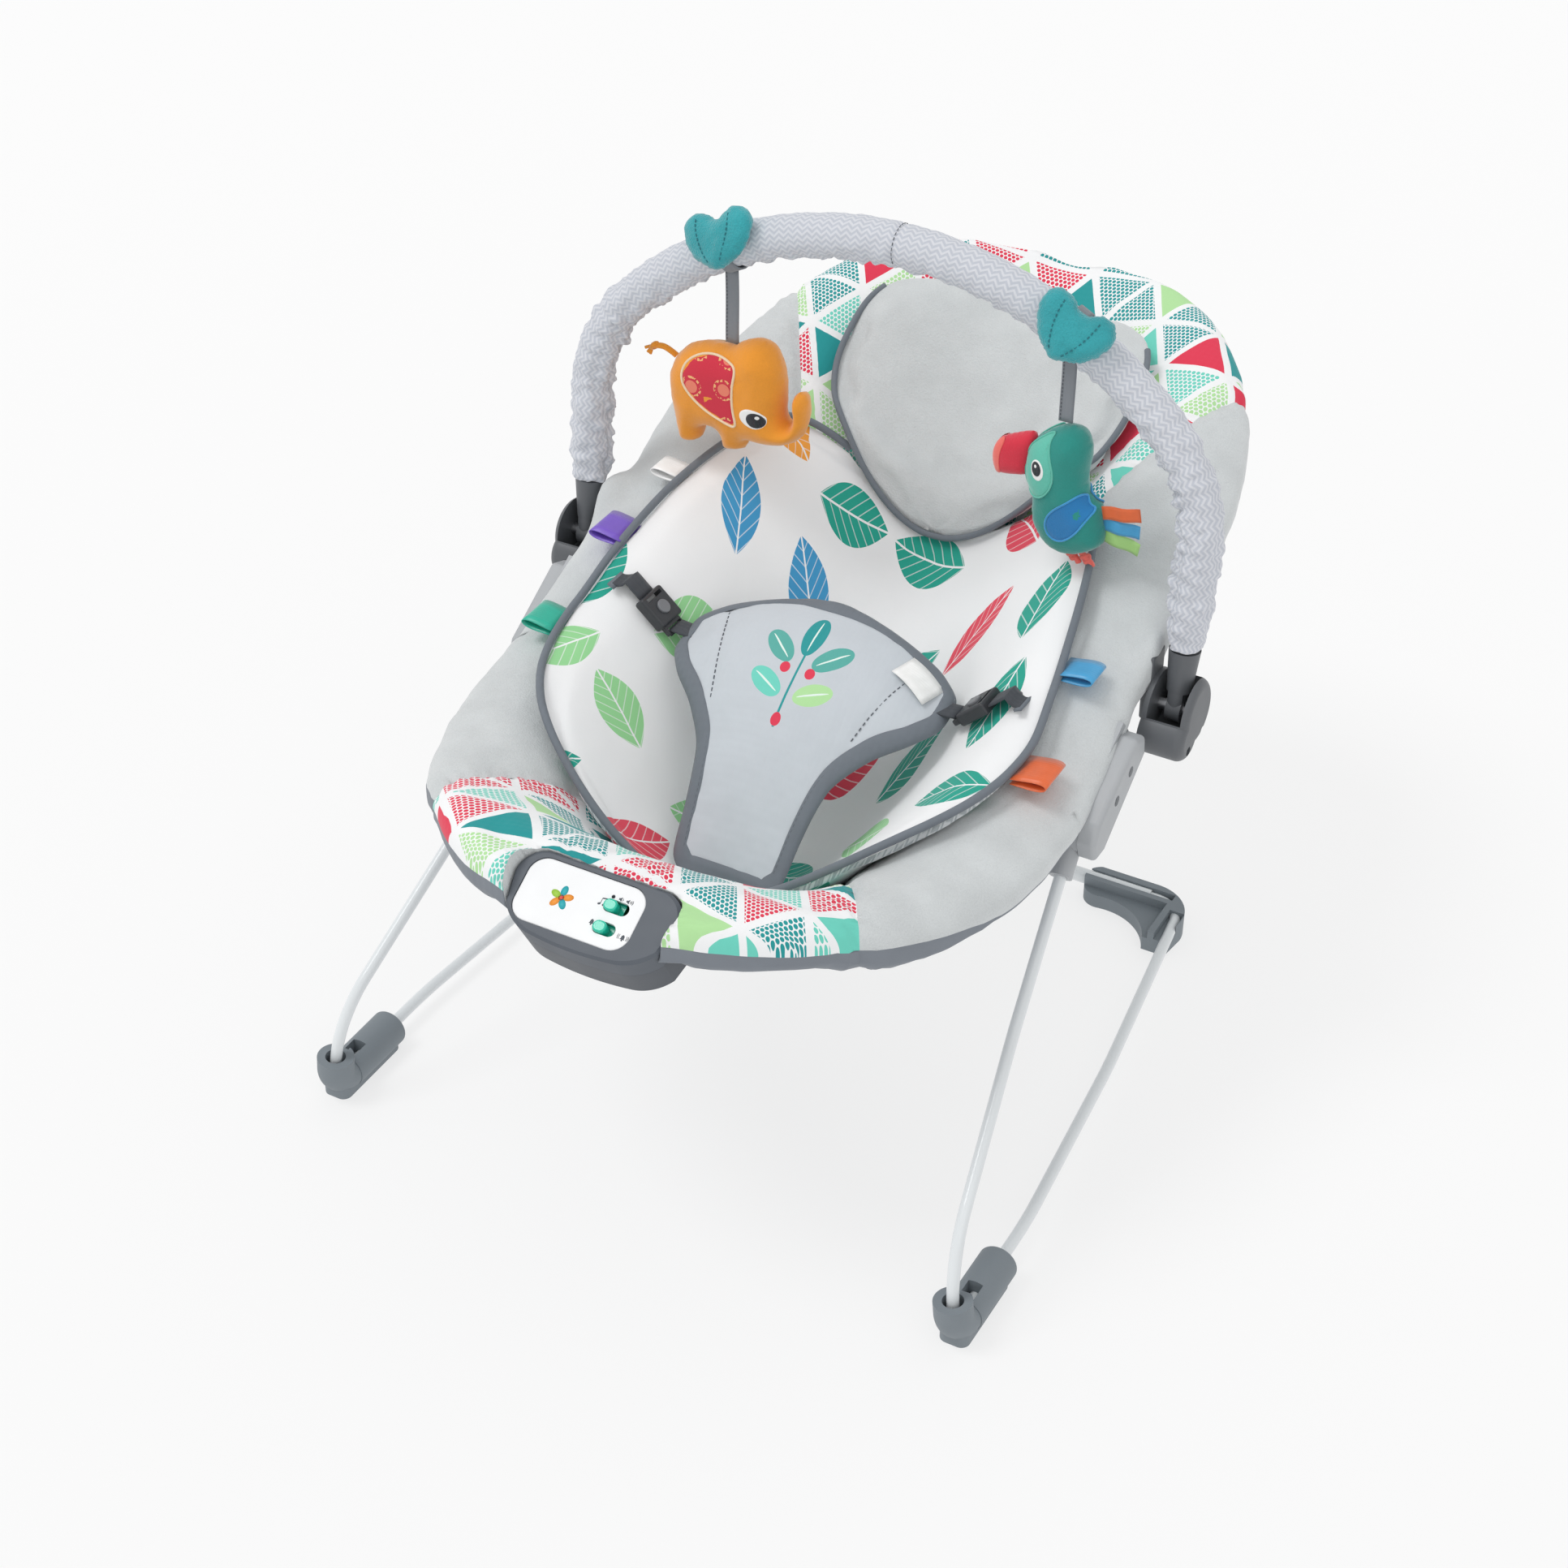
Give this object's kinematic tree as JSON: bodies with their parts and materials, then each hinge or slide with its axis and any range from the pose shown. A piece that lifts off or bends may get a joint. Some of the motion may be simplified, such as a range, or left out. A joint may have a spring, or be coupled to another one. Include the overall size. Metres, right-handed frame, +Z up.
{
  "type": "bouncer seat",
  "caption": "Infant bouncer seat: padded sling on a spring-wire frame and floor base, with a tilting toy bar, hanging plush toys and a sound and vibration unit.",
  "frame": {"origin": "middle of the whole seat's footprint, on the floor", "axes": "+Y to the head end, +X to the sitter's left, +Z up"},
  "size_m": [0.49, 0.6901, 0.546],
  "materials": {
    "wire_white": "satin",
    "frame_steel": "satin",
    "foot_rubber": "matte",
    "plastic_grey": "satin",
    "plastic_dark": "satin",
    "bezel_dark": "gloss",
    "case_dark": "satin",
    "face_white": "satin",
    "knob_teal": "satin",
    "button_grey": "satin",
    "steel": "satin",
    "cell": "gloss",
    "board_green": "satin",
    "speaker_black": "matte",
    "bar_core_plastic": "satin",
    "cover_fabric": "matte",
    "pad_fabric": "matte",
    "pillow_fabric": "matte",
    "underside_fabric": "matte",
    "sleeve_fabric": "matte",
    "ribbon_grey": "matte",
    "webbing": "matte",
    "plush_teal": "matte",
    "plush_orange": "matte",
    "satin_ribbon": "satin"
  },
  "bodies": {
    "base": {"base_rail_left": "wire_white", "base_rail_right": "wire_white", "rear_cross_tube": "wire_white", "front_foot_left": "foot_rubber", "front_foot_right": "foot_rubber", "rear_foot_left": "foot_rubber", "rear_foot_right": "foot_rubber"},
    "toy_bar": {"bar_core": "bar_core_plastic", "bar_sleeve": "sleeve_fabric", "bar_socket_left": "plastic_dark", "bar_socket_right": "plastic_dark", "plush_hearts": "plush_teal", "strap_loops": "ribbon_grey"},
    "strap_left": {"toy_strap_left": "ribbon_grey"},
    "strap_right": {"toy_strap_right": "ribbon_grey"},
    "elephant": {"elephant_toy": "plush_orange", "elephant_tail": "plush_orange"},
    "bird": {"bird_toy": "plush_teal", "bird_ribbons": "satin_ribbon"},
    "volume_switch": {"volume_knob": "knob_teal"},
    "vibration_switch": {"vibration_knob": "knob_teal"},
    "eccentric": {"motor_weight": "steel"},
    "battery_cover": {"battery_door": "case_dark", "battery_door_screw": "steel"},
    "tongue_left": {"buckle_tongue_left": "plastic_dark"},
    "tongue_right": {"buckle_tongue_right": "plastic_dark"},
    "button_left": {"buckle_button_left": "button_grey"},
    "button_right": {"buckle_button_right": "button_grey"},
    "seat": {"spring_arm_left": "wire_white", "spring_arm_right": "wire_white", "seat_frame_front_loop": "frame_steel", "seat_frame_rear_loop": "frame_steel", "bracket_inner_left": "plastic_grey", "bracket_inner_right": "plastic_grey", "bracket_outer_left": "plastic_grey", "bracket_outer_right": "plastic_grey", "hub_base_left": "plastic_dark", "hub_base_right": "plastic_dark", "hub_cap_left": "plastic_dark", "hub_cap_right": "plastic_dark", "buckle_housing_left": "plastic_dark", "buckle_housing_right": "plastic_dark", "unit_front_housing": "bezel_dark", "unit_rear_case": "case_dark", "unit_face_plate": "face_white", "pivot_pins": "steel", "frame_screws": "steel", "unit_screws": "steel", "battery_contacts": "steel", "vibration_motor": "steel", "batteries": "cell", "circuit_board": "board_green", "speaker": "speaker_black", "seat_cover": "cover_fabric", "body_pad": "pad_fabric", "headrest": "pillow_fabric", "restraint_panel": "pillow_fabric", "underside_panel": "underside_fabric", "waist_straps": "webbing", "loop_tags": "satin_ribbon"}
  },
  "joints": [
    {"name": "bounce", "type": "hinge", "parent": "base", "child": "seat", "pos_m": [0, -0.276, 0.012], "axis": [1, 0, 0], "range_deg": [-5, 2.5], "stiffness_Nm_per_rad": 310, "springref_deg": 2.3},
    {"name": "toy_bar_tilt", "type": "hinge", "parent": "seat", "child": "toy_bar", "pos_m": [0, 0.032, 0.275], "axis": [1, 0, 0], "range_deg": [-1, 60]},
    {"name": "strap_left_swing", "type": "hinge", "parent": "toy_bar", "child": "strap_left", "pos_m": [-0.12, 0.06018, 0.48529], "axis": [1, 0, 0], "range_deg": [-8, 8]},
    {"name": "strap_right_swing", "type": "hinge", "parent": "toy_bar", "child": "strap_right", "pos_m": [0.12, 0.06018, 0.48529], "axis": [1, 0, 0], "range_deg": [-8, 8]},
    {"name": "elephant_swing", "type": "hinge", "parent": "strap_left", "child": "elephant", "pos_m": [-0.12, 0.06018, 0.43479], "axis": [0, 1, 0], "range_deg": [-8, 8]},
    {"name": "bird_swing", "type": "hinge", "parent": "strap_right", "child": "bird", "pos_m": [0.12, 0.06018, 0.44079], "axis": [0, 1, 0], "range_deg": [-8, 8]},
    {"name": "volume_switch_slide", "type": "slide", "parent": "seat", "child": "volume_switch", "axis": [1, 0, 0], "range_m": [0, 0.007]},
    {"name": "vibration_switch_slide", "type": "slide", "parent": "seat", "child": "vibration_switch", "axis": [1, 0, 0], "range_m": [0, 0.005]},
    {"name": "vibration_motor_spin", "type": "hinge", "parent": "seat", "child": "eccentric", "pos_m": [0.037, -0.31506, 0.24517], "axis": [1, 0, 0], "continuous": true},
    {"name": "battery_door_off", "type": "slide", "parent": "seat", "child": "battery_cover", "axis": [0, 0.4909, -0.8712], "range_m": [0, 0.01]},
    {"name": "buckle_left_release", "type": "slide", "parent": "seat", "child": "tongue_left", "axis": [0.7431, 0, -0.6691], "range_m": [0, 0.006]},
    {"name": "buckle_right_release", "type": "slide", "parent": "seat", "child": "tongue_right", "axis": [-0.7431, 0, -0.6691], "range_m": [0, 0.006]},
    {"name": "button_left_press", "type": "slide", "parent": "seat", "child": "button_left", "axis": [-0.6691, 0, -0.7431], "range_m": [0, 0.0012], "stiffness_N_per_m": 300},
    {"name": "button_right_press", "type": "slide", "parent": "seat", "child": "button_right", "axis": [0.6691, 0, -0.7431], "range_m": [0, 0.0012], "stiffness_N_per_m": 300}
  ]
}
